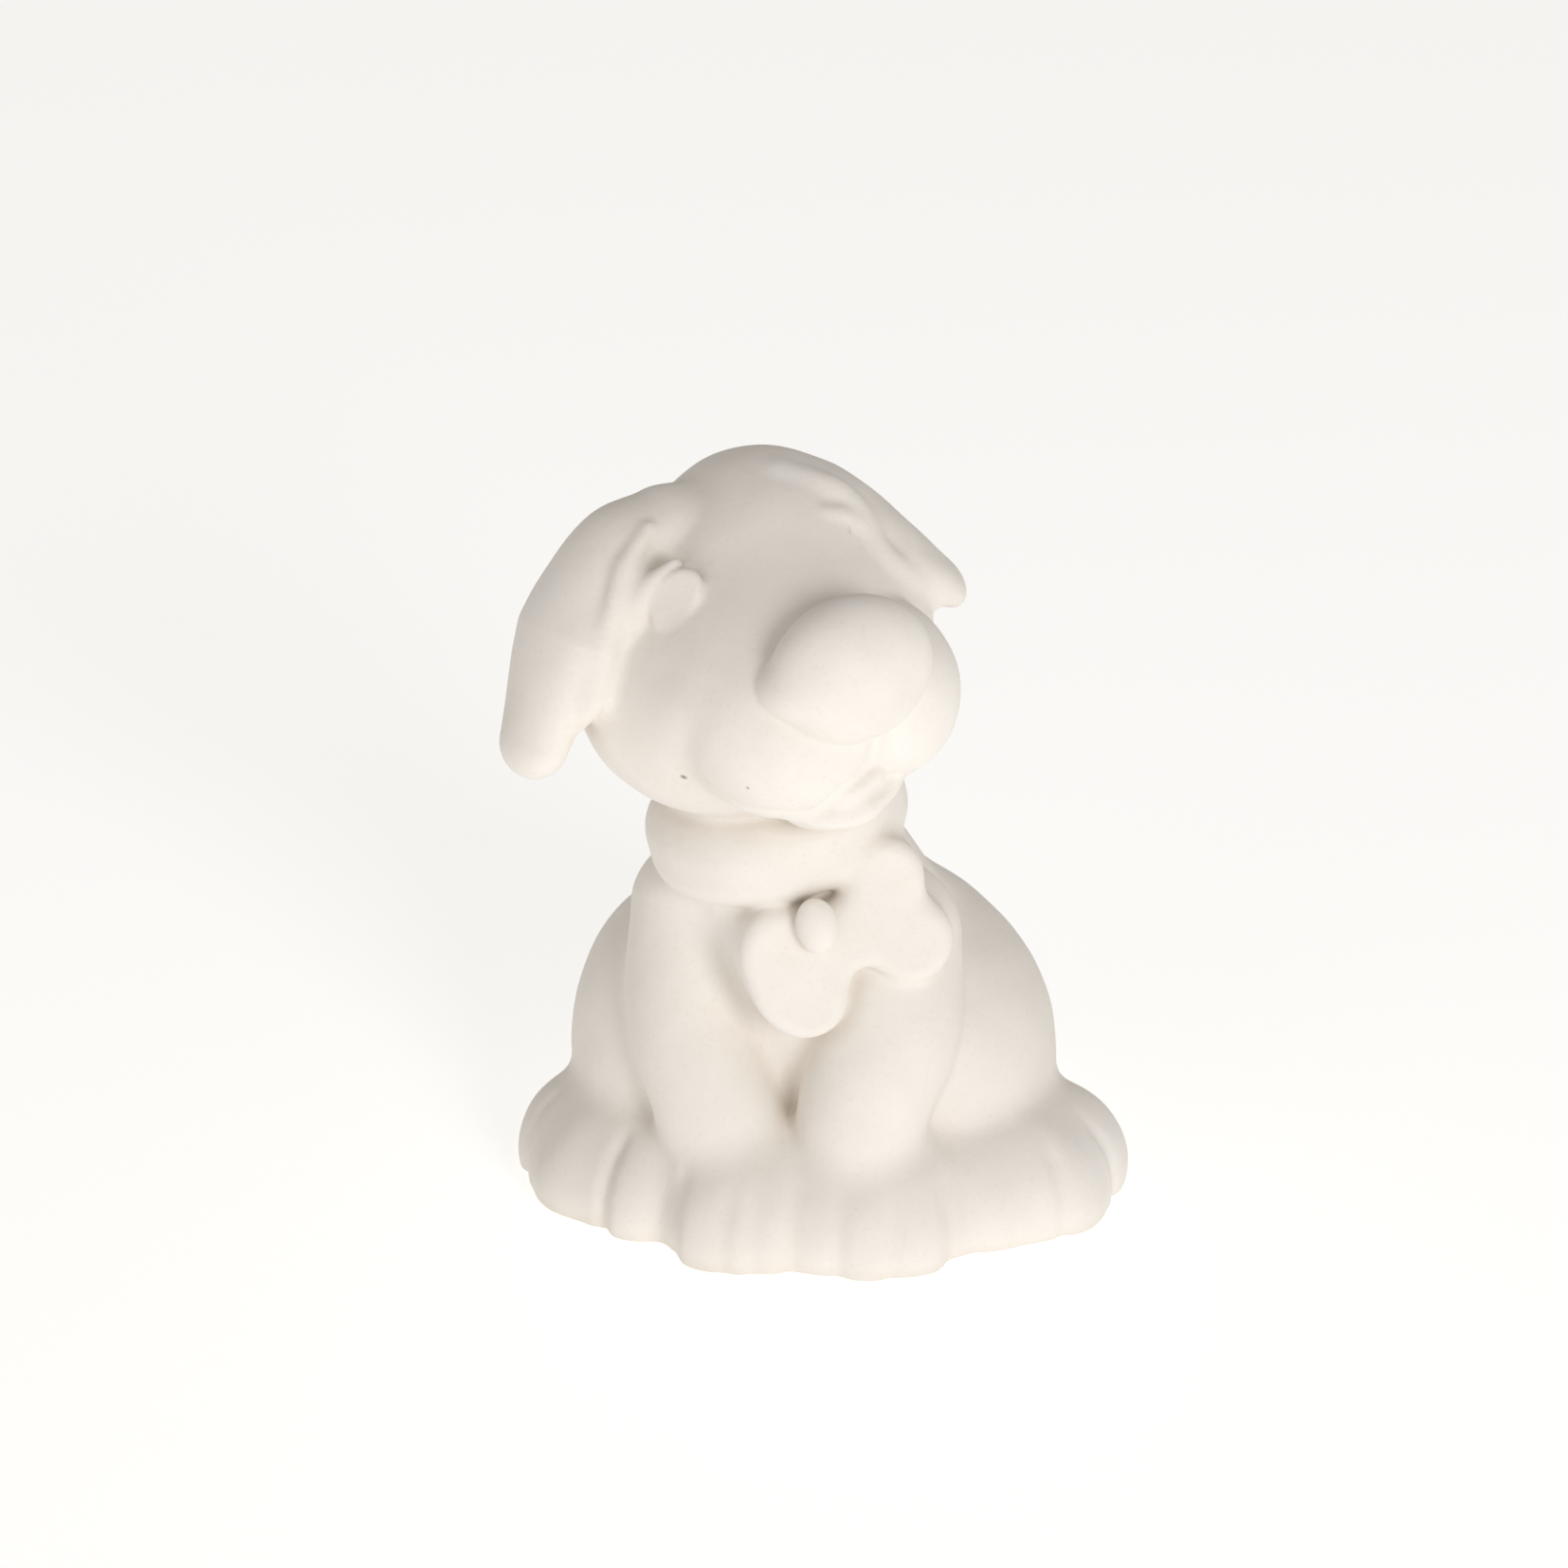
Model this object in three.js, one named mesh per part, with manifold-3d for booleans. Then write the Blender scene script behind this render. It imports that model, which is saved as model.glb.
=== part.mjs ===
// Seated puppy figurine in unglazed white bisque, looking up to its left with its head tilted.
// Millimetres. +Z is up, -Y is the way the chest faces, +X is the puppy's own left.
// Every modelled form of the clay is its own closed solid, cut back by the forms it sits on.

import * as THREE from 'three';
import { mergeVertices } from 'three/addons/utils/BufferGeometryUtils.js';
import Module from 'manifold-3d';

// ---------------------------------------------------------------- driving dimensions

const SEAM_GAP = 0.3; // clearance kept between two forms that touch
const WALL = 3.6; // thickness of the cast shell of the torso and the head
const POUR_HOLE_RADIUS = 9; // drain hole in the base
const NECK_BORE_RADIUS = 6; // passage between the hollow of the torso and that of the head
const FLOOR_DEPTH = 60; // block that trims everything below the resting plane
const TOE_LEVEL = 2.5; // height of the toes' middles

const HEAD_CENTRE = [-7.4, -10, 79.2];
const HEAD_TURN = 33; // degrees to the puppy's left
const HEAD_NOD = -8; // degrees, nose up
const HEAD_TILT = -14; // degrees, left ear up

const COLLAR_RADIUS = 17.2; // outside of the rolled collar
const COLLAR_CORE = 2.8; // its inside, buried in the neck
const COLLAR_HALF_HEIGHT = 5.9;
const COLLAR_ROUNDING = 4.6;
const COLLAR_CENTRE = [-5, -9.8, 54.6];

const BONE_CENTRE = [4.8, -18.1, 43.1];
const BONE_SLOPE = -27; // degrees, the puppy's left end up
const BONE_LEAN = -8; // degrees, top edge back against the chest
const BONE_TURN = 20; // degrees, round the chest to its left
const BONE_WAIST = [8, 4.9]; // half length and half height of the waist
const BONE_HALF_THICKNESS = 6.3;
const BONE_EDGE = 2; // rounding of the tag's edges

const FINE = [20, 12]; // facets round and along the large forms
const MEDIUM = [14, 9];
const SMALL = [10, 7];
const HIDDEN = [12, 8]; // the hollows, which nothing shows

const wasm = await Module();
wasm.setup();

// ---------------------------------------------------------------- geometry helpers

/** A placement: a turn about Z, then a nod about X, then a tilt about Y, at a point. */
function placed(centre, turn = 0, nod = 0, tilt = 0) {
  const radians = [nod, tilt, turn].map(THREE.MathUtils.degToRad);
  const rotation = new THREE.Quaternion().setFromEuler(new THREE.Euler(...radians, 'ZXY'));
  const scale = new THREE.Vector3(1, 1, 1);
  return new THREE.Matrix4().compose(new THREE.Vector3(...centre), rotation, scale);
}

const BODY_FRAME = new THREE.Matrix4();
const HEAD_FRAME = placed(HEAD_CENTRE, HEAD_TURN, HEAD_NOD, HEAD_TILT);

/** An ellipsoid whose half axes all grow by the same amount. */
function ball(centre, radii, facets = MEDIUM, turns = [0, 0, 0]) {
  return (grow) => {
    const geometry = new THREE.SphereGeometry(1, facets[0], facets[1]);
    geometry.rotateX(Math.PI / 2);
    geometry.scale(radii[0] + grow, radii[1] + grow, radii[2] + grow);
    return geometry.applyMatrix4(placed(centre, ...turns));
  };
}

/** Value of a list of numbers at a fraction of its length, straight between its entries. */
function between(list, fraction) {
  const place = fraction * (list.length - 1);
  const index = Math.min(Math.floor(place), list.length - 2);
  return THREE.MathUtils.lerp(list[index], list[index + 1], place - index);
}

/**
 * A round-ended limb swept along a spline. Each point of the spline has a half thickness and
 * a half width, and the width lies along the across direction.
 */
function limb(points, thickness, width, across, facets = SMALL) {
  return (grow) => {
    const curve = new THREE.CatmullRomCurve3(points.map((point) => new THREE.Vector3(...point)));
    const geometry = new THREE.CapsuleGeometry(1, 1, 3, facets[0], facets[1]);
    const position = geometry.attributes.position;
    const point = new THREE.Vector3();
    for (let index = 0; index < position.count; index += 1) {
      point.fromBufferAttribute(position, index);
      const along = THREE.MathUtils.clamp(point.y + 0.5, 0, 1);
      const beyond = point.y + 0.5 - along;
      const tangent = curve.getTangentAt(along);
      const wide = new THREE.Vector3(...across).projectOnPlane(tangent).normalize();
      const thin = new THREE.Vector3().crossVectors(tangent, wide);
      const halfThin = between(thickness, along) + grow;
      const halfWide = between(width, along) + grow;
      const centre = curve.getPointAt(along);
      centre.addScaledVector(thin, point.x * halfThin);
      centre.addScaledVector(wide, point.z * halfWide);
      centre.addScaledVector(tangent, beyond * (halfThin + halfWide) / 2);
      position.setXYZ(index, centre.x, centre.y, centre.z);
    }
    return geometry;
  };
}

/** A round limb: its thickness and its width are the same radius. */
function roundLimb(points, radii, facets = SMALL, across = [1, 0, 0]) {
  return limb(points, radii, radii, across, facets);
}

// ---------------------------------------------------------------- solids

/** Turns a closed geometry into a solid. */
function solidOf(geometry) {
  geometry.deleteAttribute('normal');
  geometry.deleteAttribute('uv');
  const merged = mergeVertices(geometry, 1e-4);
  const corners = merged.index.array;
  const faces = [];
  for (let index = 0; index < corners.length; index += 3) {
    const [a, b, c] = corners.subarray(index, index + 3);
    if (a !== b && b !== c && c !== a) {
      faces.push(a, b, c);
    }
  }
  const vertProperties = new Float32Array(merged.attributes.position.array);
  const triVerts = new Uint32Array(faces);
  return new wasm.Manifold(new wasm.Mesh({ numProp: 3, vertProperties, triVerts }));
}

/** Joins the forms of one piece, all grown by the same amount, in the frame of the figure. */
function joined(forms, frame, grow) {
  const solids = forms.map((form) => solidOf(form(grow).applyMatrix4(frame)));
  return solids.reduce((total, solid) => total.add(solid));
}

/** Turns a solid back into a geometry. */
function geometryOf(solid) {
  const { vertProperties, triVerts } = solid.getMesh();
  const geometry = new THREE.BufferGeometry();
  geometry.setAttribute('position', new THREE.BufferAttribute(vertProperties, 3));
  geometry.setIndex(new THREE.BufferAttribute(triVerts, 1));
  return geometry;
}

// ---------------------------------------------------------------- body forms

const BELLY = { centre: [-2.5, 8, 18], radii: [31, 26, 24.2] };
const CHEST = { centre: [-4.2, -1, 38], radii: [18, 18, 18] };
const NECK = { centre: [-4.6, -8, 50], radii: [14.6, 14, 14] };

/** The three stacked masses of the torso, from the belly up to the neck. */
function torsoForms(facets = FINE) {
  return [BELLY, CHEST, NECK].map(({ centre, radii }) => ball(centre, radii, facets));
}

/** The hollow of the torso, with the pour hole below and the passage to the head above. */
function torsoHollow() {
  const inner = joined(torsoForms(HIDDEN), BODY_FRAME, -WALL);
  const slab = new THREE.BoxGeometry(200, 200, FLOOR_DEPTH);
  slab.translate(0, 0, WALL - FLOOR_DEPTH / 2);
  const hole = new THREE.CylinderGeometry(POUR_HOLE_RADIUS, POUR_HOLE_RADIUS, 4 * WALL, 24);
  hole.rotateX(Math.PI / 2);
  hole.translate(BELLY.centre[0], BELLY.centre[1], 0);
  const bore = new THREE.CylinderGeometry(NECK_BORE_RADIUS, NECK_BORE_RADIUS, 30, 20);
  bore.rotateX(Math.PI / 2);
  bore.translate(NECK.centre[0], NECK.centre[1], NECK.centre[2] + 8);
  return inner.subtract(solidOf(slab)).add(solidOf(hole)).add(solidOf(bore));
}

/** A paw: one broad pad, and three toes side by side that each turn outwards by some degrees. */
function paw(pad, toes) {
  const lobes = toes.map(({ at, radii, turn }) => {
    return ball([...at, TOE_LEVEL], radii, SMALL, [turn, 0, 0]);
  });
  return [ball(pad.centre, pad.radii), ...lobes];
}

const BODY_FORMS = {
  haunch_left: [ball([15.2, 3, 14.5], [16, 20, 20.5], FINE)],
  haunch_right: [ball([-20.2, 2, 16.4], [15, 20, 21.6], FINE)],
  front_leg_left: [roundLimb([[9, -9, 38], [11, -15, 28], [8.4, -19.5, 18], [7, -21, 9]],
    [10.5, 9.4, 8.6, 8.4], MEDIUM)],
  front_leg_right: [roundLimb([[-15.5, -8, 40], [-15.5, -15, 28], [-11.8, -19.5, 18],
    [-9, -21, 9]], [9.3, 8.6, 8.3, 8.5], MEDIUM)],
  front_paw_left: paw({ centre: [11, -18, 2], radii: [12, 14, 11] }, [
    { at: [4, -21.2], radii: [7, 13.5, 11.2], turn: 0 },
    { at: [10, -21], radii: [6.8, 13.6, 11.2], turn: 4 },
    { at: [14, -18.5], radii: [7.6, 13.5, 11], turn: 18 },
  ]),
  front_paw_right: paw({ centre: [-7, -18, 2], radii: [11, 14, 11] }, [
    { at: [-1, -21.4], radii: [7, 13.5, 11.2], turn: 0 },
    { at: [-5.3, -22.2], radii: [6.6, 13.5, 11.2], turn: -4 },
    { at: [-9.4, -21.8], radii: [6.8, 13.5, 11], turn: -8 },
  ]),
  hind_paw_left: paw({ centre: [25, -3, 2], radii: [14.5, 18, 11.4] }, [
    { at: [20.9, -12.6], radii: [9, 13, 10.8], turn: 25 },
    { at: [27.9, -8.3], radii: [9, 13, 10.2], turn: 50 },
    { at: [30.4, 0], radii: [9.8, 11, 9.8], turn: 82 },
  ]),
  hind_paw_right: paw({ centre: [-25.4, -5, 2], radii: [14, 17.5, 11.6] }, [
    { at: [-18.8, -17.2], radii: [9.4, 13, 10.8], turn: -16 },
    { at: [-25, -13.2], radii: [9, 13, 10.4], turn: -45 },
    { at: [-29.8, -6.4], radii: [9.4, 11, 10], turn: -78 },
  ]),
  tail: [roundLimb([[-3, 27.5, 5], [7, 32, 4.8], [16, 29.8, 5], [22.5, 23.5, 5.6]],
    [4.8, 5.6, 4.8, 3.6], MEDIUM, [0, 0, 1])],
};

// ---------------------------------------------------------------- collar and tag

/** The rolled collar: a ring whose section is a rectangle with well rounded corners. */
function collarRing() {
  return (grow) => {
    const outer = COLLAR_RADIUS + grow;
    const half = COLLAR_HALF_HEIGHT + grow;
    const profile = new THREE.Path();
    profile.moveTo(COLLAR_CORE, -half);
    profile.lineTo(outer - COLLAR_ROUNDING, -half);
    profile.absarc(outer - COLLAR_ROUNDING, COLLAR_ROUNDING - half, COLLAR_ROUNDING,
      -Math.PI / 2, 0, false);
    profile.absarc(outer - COLLAR_ROUNDING, half - COLLAR_ROUNDING, COLLAR_ROUNDING,
      0, Math.PI / 2, false);
    profile.lineTo(COLLAR_CORE, half);
    profile.closePath();
    const ring = new THREE.LatheGeometry(profile.getPoints(3), 28);
    ring.rotateX(Math.PI / 2);
    return ring.applyMatrix4(placed(COLLAR_CENTRE, 0, 7, -12));
  };
}

/** Where the round knobs of the bone lie in its own plane, and how big they are. */
const BONE_KNOBS = [
  { x: -8.2, z: 2.8, radius: 5.3 },
  { x: -8.9, z: -1.2, radius: 5 },
  { x: -8.4, z: -5, radius: 5.3 },
  { x: 8.2, z: 4.2, radius: 4.9 },
  { x: 6.9, z: -5.1, radius: 5.6 },
];

/** A flat form of the tag: its outline drawn out to the tag's thickness, its edges rounded. */
function slab(outline, grow) {
  const core = BONE_HALF_THICKNESS - BONE_EDGE;
  const geometry = new THREE.ExtrudeGeometry(outline, {
    depth: 2 * core,
    bevelThickness: BONE_EDGE + grow,
    bevelSize: BONE_EDGE + grow,
    bevelSegments: 2,
    curveSegments: 5,
  });
  geometry.translate(0, 0, -core);
  geometry.rotateX(Math.PI / 2);
  return geometry.applyMatrix4(placed(BONE_CENTRE, BONE_TURN, BONE_LEAN, BONE_SLOPE));
}

/** One round knob of the bone. */
function boneKnob({ x, z, radius }) {
  return (grow) => {
    const outline = new THREE.Shape();
    outline.absarc(x, z, radius - BONE_EDGE, 0, 2 * Math.PI, false);
    return slab(outline, grow);
  };
}

/** The waist of the bone, which runs in under the knobs at both ends. */
function boneWaist() {
  return (grow) => {
    const [long, high] = BONE_WAIST.map((half) => half - BONE_EDGE);
    const corners = [[-long, -high], [long, -high], [long, high], [-long, high]];
    return slab(new THREE.Shape(corners.map(([x, z]) => new THREE.Vector2(x, z))), grow);
  };
}

const TRIM_FORMS = {
  collar: [collarRing()],
  bone_tag: [boneWaist(), ...BONE_KNOBS.map(boneKnob)],
  tag_loop: [ball([3.2, -26.6, 46.5], [2.7, 2.4, 3.7], SMALL, [0, 0, -8])],
};

// ---------------------------------------------------------------- head forms, in its own frame

/** The skull, the cheeks, the root of the muzzle and the heavier right cheek. */
function headForms(facets = FINE) {
  return [
    ball([1.2, 1, 1.6], [17.3, 21, 22.4], facets, [0, 0, 20]),
    ball([-1.3, 0, -3], [23.8, 21, 19.4], facets),
    ball([-1, -12, -2.5], [13, 16, 13.8], facets),
    ball([-6, -13, -1], [13.5, 13.5, 10], facets),
  ];
}

/** The hollow of the head. The neck goes through the wall below it. */
function headHollow() {
  return joined(headForms(HIDDEN), HEAD_FRAME, -WALL);
}

/**
 * The oval of an eye: a flat ellipsoid with its first axis along its length, its second along
 * its height and its third standing out of the face.
 */
function eye(centre, radii, length, outward) {
  return (grow) => {
    const out = new THREE.Vector3(...outward).normalize();
    const along = new THREE.Vector3(...length).projectOnPlane(out).normalize();
    const up = new THREE.Vector3().crossVectors(out, along);
    const frame = new THREE.Matrix4().makeBasis(along, up, out).setPosition(...centre);
    return ball([0, 0, 0], radii, SMALL)(grow).applyMatrix4(frame);
  };
}

const HEAD_FORMS = {
  jowl_left: [ball([6.4, -17.4, -6.2], [11.2, 12.6, 12], FINE)],
  jowl_right: [ball([-5.5, -17.6, -4.9], [13.2, 13.2, 13.2], FINE)],
  nose: [ball([0.5, -29.2, 0.9], [10.6, 7.6, 9.5], MEDIUM, [0, 18, 0]),
    ball([-7.1, -28, 1.2], [4.3, 5.4, 4], SMALL)],
  tongue: [ball([-0.8, -24, -15.2], [4.8, 3.4, 1.9], SMALL, [0, -14, -15])],
  lower_jaw: [ball([-0.8, -17, -17], [8.4, 8, 5], MEDIUM, [0, -10, 0]),
    roundLimb([[-9.8, -21.4, -16.2], [-5.5, -23.2, -17.9], [-0.8, -24, -18.2],
      [5.6, -22.4, -15.4]], [0.8, 1.6, 1.9, 0.9], SMALL, [0, 0, 1])],
  eye_left: [eye([11.8, -13.1, 11.5], [3.8, 2.4, 1.3], [0.79, 0.16, -0.59], [0.6, -0.68, 0.45])],
  eye_right: [eye([-12.6, -11.9, 12.1], [4.5, 3.1, 1.3], [-0.79, 0.16, -0.59],
    [-0.63, -0.63, 0.45])],
  eyelid_left: [roundLimb([[13.4, -12.6, 10.4], [12.2, -13, 12.6], [10.8, -13, 14.4],
    [9, -13, 15.5]], [0.7, 1.2, 1.2, 0.6])],
  eyelid_right: [roundLimb([[-19.4, -6.6, 9.4], [-16.3, -8.4, 12.4], [-13.8, -9.2, 14.6],
    [-11, -10.2, 16]], [0.9, 1.4, 1.4, 0.8])],
  ear_left: [limb([[8.2, -2, 19.2], [14.4, -2.6, 14.8], [19.6, -2, 7.8], [25.6, -0.5, -1.7]],
    [2.4, 2.9, 3, 2.8], [6, 9, 9.5, 6], [0.25, 0.95, 0], MEDIUM)],
  ear_right: [limb([[-7.4, 1, 19.2], [-15.2, 0.8, 17.6], [-24.2, 0.6, 9.5], [-32.2, 0.8, -2]],
    [3.4, 4.3, 4.7, 3.8], [6, 6.6, 9, 5.7], [-0.15, 0.95, 0.15], MEDIUM)],
};

// ---------------------------------------------------------------- assembly

const BISQUE = { color: 0xe9e4df, roughness: 0.85, metalness: 0 };
const SMOOTHED = { color: 0xe6e0da, roughness: 0.8, metalness: 0 };

const figurine = new THREE.Group();
const headGroup = new THREE.Group();
headGroup.position.set(...HEAD_CENTRE);
headGroup.quaternion.setFromRotationMatrix(HEAD_FRAME);
figurine.add(headGroup);

const block = new THREE.BoxGeometry(200, 200, FLOOR_DEPTH);
block.translate(0, 0, -FLOOR_DEPTH / 2);
const floor = solidOf(block);
const finished = [];

/** Cuts a piece back by the resting plane and by every piece made before it. */
function trimmed(forms, frame) {
  const start = joined(forms, frame, 0).subtract(floor);
  return finished.reduce((solid, other) => solid.subtract(other), start);
}

/** Adds a solid to a group as a named mesh that is placed at its own middle. */
function addPiece(name, solid, group, finish, frame) {
  const geometry = geometryOf(solid).applyMatrix4(frame.clone().invert());
  geometry.computeBoundingBox();
  const middle = geometry.boundingBox.getCenter(new THREE.Vector3());
  geometry.translate(-middle.x, -middle.y, -middle.z);
  geometry.computeVertexNormals();
  const mesh = new THREE.Mesh(geometry, new THREE.MeshStandardMaterial(finish));
  mesh.name = name;
  mesh.position.copy(middle);
  group.add(mesh);
}

/** Makes one piece and remembers its grown form, which cuts the pieces after it. */
function makePiece(name, forms, frame, group, finish, cavity = null) {
  let solid = trimmed(forms, frame);
  if (cavity) {
    solid = solid.subtract(cavity);
  }
  finished.push(joined(forms, frame, SEAM_GAP));
  addPiece(name, solid, group, finish, frame);
}

makePiece('torso', torsoForms(), BODY_FRAME, figurine, BISQUE, torsoHollow());
makePiece('head', headForms(), HEAD_FRAME, headGroup, BISQUE, headHollow());
for (const [name, forms] of Object.entries(BODY_FORMS)) {
  makePiece(name, forms, BODY_FRAME, figurine, BISQUE);
}
for (const [name, forms] of Object.entries(TRIM_FORMS)) {
  makePiece(name, forms, BODY_FRAME, figurine, SMOOTHED);
}
for (const [name, forms] of Object.entries(HEAD_FORMS)) {
  makePiece(name, forms, HEAD_FRAME, headGroup, BISQUE);
}

// The origin is the middle of the outer box, on the resting plane.
const middle = new THREE.Box3().setFromObject(figurine, true).getCenter(new THREE.Vector3());
figurine.position.set(-middle.x, -middle.y, 0);

const model = new THREE.Group();
model.add(figurine);
export default model;
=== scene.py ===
"""Seated puppy figurine in unglazed white bisque.

The figurine is one soft, fused mass of clay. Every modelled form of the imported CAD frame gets
a distance field here. The fields are blended into one surface, and that surface is then cut
back into one closed mesh for each form, so the forms stay separate pieces with soft creases
between them instead of gaps.
"""

import bpy
import numpy as np
import openvdb
from mathutils import Matrix, Vector


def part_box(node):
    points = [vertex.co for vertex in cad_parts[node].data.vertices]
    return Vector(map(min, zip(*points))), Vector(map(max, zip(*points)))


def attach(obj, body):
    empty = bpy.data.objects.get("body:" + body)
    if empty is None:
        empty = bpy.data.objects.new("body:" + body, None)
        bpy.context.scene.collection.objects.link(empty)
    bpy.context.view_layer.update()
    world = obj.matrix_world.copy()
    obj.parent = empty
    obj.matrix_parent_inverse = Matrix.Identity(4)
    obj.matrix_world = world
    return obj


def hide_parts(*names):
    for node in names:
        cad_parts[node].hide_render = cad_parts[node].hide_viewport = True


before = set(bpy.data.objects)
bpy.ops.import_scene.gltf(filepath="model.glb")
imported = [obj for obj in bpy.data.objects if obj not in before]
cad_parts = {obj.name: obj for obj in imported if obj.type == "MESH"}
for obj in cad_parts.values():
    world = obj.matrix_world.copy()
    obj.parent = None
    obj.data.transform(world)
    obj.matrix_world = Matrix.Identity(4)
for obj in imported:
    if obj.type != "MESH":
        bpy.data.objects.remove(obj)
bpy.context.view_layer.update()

# ---------------------------------------------------------------- the design, in millimetres
# The numbers are those of the CAD part, whose belly is an ellipsoid, so the belly's box gives
# the unit and the datum of all the others. The rims of the ears, the lines of the face and the
# creases between the toes are added here, and the CAD does not have them.

BELLY_CENTRE = (-2.5, 8.0, 18.0)
BELLY_RADII = (31.0, 26.0, 24.2)

torso_low, torso_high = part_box("torso")
UNIT = (torso_high.x - torso_low.x) / (2 * BELLY_RADII[0])
DATUM = np.array(
    [
        (torso_low.x + torso_high.x) / 2 - BELLY_CENTRE[0] * UNIT,
        torso_high.y - (BELLY_CENTRE[1] + BELLY_RADII[1]) * UNIT,
        torso_low.z,
    ]
)

WALL = 3.6
POUR_HOLE_RADIUS = 9.0
POUR_HOLE_BLEND = 1.0
NECK_BORE_RADIUS = 6.0
NECK_BORE_AXIS = (-5, -9)
NECK_BORE_MIDDLE = 56
NECK_BORE_HALF_LENGTH = 14
FLOOR_BLEND = 0.8  # how softly the forms turn into the flat underside
FINISH_BLEND = 0.6  # the same, after the hand finish
GRID_LOW = (-46, -46)  # the sampled box, which starts just under the floor
GRID_HIGH = (46, 44, 107)
VOXEL = 0.42
REACH = 7.0  # how far past its surface each form's field is worked out
FAR = 9.0  # the distance that stands for anywhere further off

# ---------------------------------------------------------------- distance fields


def turned(turn=0.0, nod=0.0, tilt=0.0):
    """A turn about Z, after a nod about X, after a tilt about Y, in degrees."""
    turns = (("Z", turn), ("X", nod), ("Y", tilt))
    result = Matrix.Identity(3)
    for axis, angle in turns:
        result = result @ Matrix.Rotation(np.radians(angle), 3, axis)
    return np.array(result)


HEAD_CENTRE = np.array([-7.4, -10.0, 79.2])
HEAD_TURN = turned(33, -8, -14)
UPRIGHT = turned()


def smooth_min(a, b, blend):
    """The lower of two fields, with a fillet where they are within blend of each other."""
    if blend <= 0:
        return np.minimum(a, b)
    near = np.maximum(blend - np.abs(a - b), 0) / blend
    return np.minimum(a, b) - near * near * blend / 4


def smooth_max(a, b, blend):
    """The higher of two fields, rounded in the same way."""
    return -smooth_min(-a, -b, blend)


class Form:
    """A signed distance over space, and the box that holds its surface."""

    def __init__(self, distance, low, high, blend=0.0):
        self.distance = distance
        self.low = np.array(low, float)
        self.high = np.array(high, float)
        self.blend = blend


def seen_from(centre, turn, x, y, z):
    """Coordinates about a centre, along the columns of a turn."""
    x, y, z = x - centre[0], y - centre[1], z - centre[2]
    return [turn[0, k] * x + turn[1, k] * y + turn[2, k] * z for k in range(3)]


def from_scaled(parts, radii):
    """Distance to an ellipse or ellipsoid, from coordinates along its axes."""
    scaled = sum((part / radius) ** 2 for part, radius in zip(parts, radii))
    steep = sum((part / radius**2) ** 2 for part, radius in zip(parts, radii))
    level = np.sqrt(scaled)
    return level * (level - 1) / np.maximum(np.sqrt(steep), 1e-6)


def edged(side, face, rounding):
    """Distance to a body whose side and face meet in a rounded edge."""
    side, face = side + rounding, face + rounding
    inside = np.minimum(np.maximum(side, face), 0)
    return inside + np.hypot(np.maximum(side, 0), np.maximum(face, 0)) - rounding


def ball(centre, radii, blend=0.0, turn=UPRIGHT):
    """An ellipsoid."""
    radii = np.array(radii, float)
    reach = np.sqrt(((turn * radii) ** 2).sum(1))
    centre = np.array(centre, float)

    def distance(x, y, z):
        return from_scaled(seen_from(centre, turn, x, y, z), radii)

    return Form(distance, centre - reach, centre + reach, blend)


def spline(points, steps):
    """Points along the smooth curve through a few points, and their even parameter."""
    points = np.array(points, float)
    ends = 2 * points[:1] - points[1:2], 2 * points[-1:] - points[-2:-1]
    padded = np.vstack([ends[0], points, ends[1]])
    place = np.linspace(0, len(points) - 1, steps)
    index = np.minimum(place.astype(int), len(points) - 2)
    u = (place - index)[:, None]
    a, b, c, d = (padded[index + k] for k in range(4))
    curve = b + u * (c - a) / 2 + u**2 * (2 * a - 5 * b + 4 * c - d) / 2
    return curve + u**3 * (3 * b - a - 3 * c + d) / 2, place


def sweep(points, thickness, width=None, across=(1, 0, 0), blend=0.0, steps=28):
    """A round-ended limb along a curve, with a half thickness and a half width at each point."""
    width = thickness if width is None else width
    curve, place = spline(points, steps)
    knots = np.arange(len(points))
    tangent = np.gradient(curve, axis=0)
    step = np.linalg.norm(tangent, axis=1)
    tangent /= step[:, None]
    wide = np.array(across, float) - tangent * (tangent @ np.array(across, float))[:, None]
    wide /= np.linalg.norm(wide, axis=1)[:, None]
    thin = np.cross(tangent, wide)
    half_thin = np.interp(place, knots, thickness)
    half_wide = np.interp(place, knots, width)
    last = steps - 1.0

    def distance(x, y, z):
        shape = np.broadcast_shapes(x.shape, y.shape, z.shape)
        here = [np.broadcast_to(axis, shape).ravel() for axis in (x, y, z)]
        best = np.full(here[0].shape, np.inf, np.float32)
        nearest = np.zeros(here[0].shape, np.int32)
        for k in range(steps):
            apart = sum((here[axis] - curve[k, axis]) ** 2 for axis in range(3))
            closer = apart < best
            best[closer] = apart[closer]
            nearest[closer] = k
        along = nearest.astype(np.float32)
        for axis in range(3):
            gap = here[axis] - curve[nearest, axis]
            along += gap * tangent[nearest, axis] / step[nearest]
        along = np.clip(along, 0, last)
        rows = np.arange(steps)
        gaps = [here[axis] - np.interp(along, rows, curve[:, axis]) for axis in range(3)]
        parts = []
        for direction in (thin, wide, tangent):
            parts.append(
                sum(gaps[axis] * np.interp(along, rows, direction[:, axis]) for axis in range(3))
            )
        across_thin = np.interp(along, rows, half_thin)
        across_wide = np.interp(along, rows, half_wide)
        radii = (across_thin, across_wide, (across_thin + across_wide) / 2)
        return from_scaled(parts, radii).reshape(shape).astype(np.float32)

    grown = max(max(thickness), max(width))
    return Form(distance, curve.min(0) - grown, curve.max(0) + grown, blend)


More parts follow.
